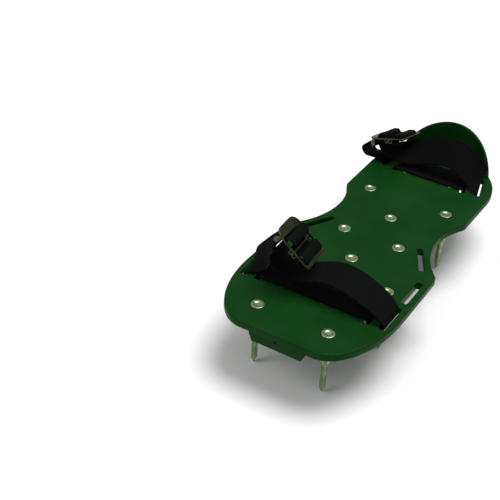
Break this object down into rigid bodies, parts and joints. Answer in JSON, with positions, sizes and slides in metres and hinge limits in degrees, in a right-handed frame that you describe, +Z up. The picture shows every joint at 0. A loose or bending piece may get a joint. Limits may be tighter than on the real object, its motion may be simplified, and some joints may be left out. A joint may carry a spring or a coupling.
{
  "type": "lawn aerator sandal",
  "caption": "Strap-on spiked sandal for aerating a lawn: moulded sole with heel cup, bolted steel spikes and two buckled webbing straps.",
  "frame": {"origin": "on the ground under the middle of the sole's length and width, the spike tips at z = 0", "axes": "+Z up from the ground to the footbed, +Y towards the toe, +X towards the wearer's right"},
  "size_m": [0.1236, 0.3, 0.0976],
  "materials": {
    "green_plastic": "fine-textured injection-moulded polypropylene, satin",
    "zinc_steel": "slightly yellow zinc plating on steel",
    "black_webbing": "ribbed black nylon webbing",
    "bronzed_steel": "stamped steel with a dull antique-brass plating"
  },
  "bodies": {
    "sandal": {"sole_plate": "green_plastic", "spike_01": "zinc_steel", "spike_02": "zinc_steel", "spike_03": "zinc_steel", "spike_04": "zinc_steel", "spike_05": "zinc_steel", "spike_06": "zinc_steel", "spike_07": "zinc_steel", "spike_08": "zinc_steel", "spike_09": "zinc_steel", "spike_10": "zinc_steel", "spike_11": "zinc_steel", "spike_12": "zinc_steel", "spike_13": "zinc_steel", "nut_01": "zinc_steel", "nut_02": "zinc_steel", "nut_03": "zinc_steel", "nut_04": "zinc_steel", "nut_05": "zinc_steel", "nut_06": "zinc_steel", "nut_07": "zinc_steel", "nut_08": "zinc_steel", "nut_09": "zinc_steel", "nut_10": "zinc_steel", "nut_11": "zinc_steel", "nut_12": "zinc_steel", "nut_13": "zinc_steel", "washer_01": "zinc_steel", "washer_02": "zinc_steel", "washer_03": "zinc_steel", "washer_04": "zinc_steel", "washer_05": "zinc_steel", "washer_06": "zinc_steel", "washer_07": "zinc_steel", "washer_08": "zinc_steel", "washer_09": "zinc_steel", "washer_10": "zinc_steel", "washer_11": "zinc_steel", "washer_12": "zinc_steel", "washer_13": "zinc_steel", "front_strap": "black_webbing", "rear_strap": "black_webbing"},
    "front_buckle": {"front_buckle_frame": "bronzed_steel", "front_strap_tail": "black_webbing"},
    "front_pin": {"front_locking_pin": "bronzed_steel"},
    "rear_buckle": {"rear_buckle_frame": "bronzed_steel", "rear_strap_tail": "black_webbing"},
    "rear_pin": {"rear_locking_pin": "bronzed_steel"}
  },
  "joints": [
    {"name": "front_buckle_hinge", "type": "hinge", "parent": "sandal", "child": "front_buckle", "pos_m": [0.0306, 0.0901, 0.0908], "axis": [-0.0853, 0.9955, 0.0406], "range_deg": [0, 30]},
    {"name": "front_pin_slide", "type": "slide", "parent": "front_buckle", "child": "front_pin", "axis": [0.7739, 0.0406, 0.632], "range_m": [-0.0015, 0.0015]},
    {"name": "rear_buckle_hinge", "type": "hinge", "parent": "sandal", "child": "rear_buckle", "pos_m": [0.0518, -0.1126, 0.0641], "axis": [0.1047, 0.9791, 0.1743], "range_deg": [0, 25]},
    {"name": "rear_pin_slide", "type": "slide", "parent": "rear_buckle", "child": "rear_pin", "axis": [0.955, -0.0501, -0.2924], "range_m": [-0.0015, 0.0015]}
  ]
}
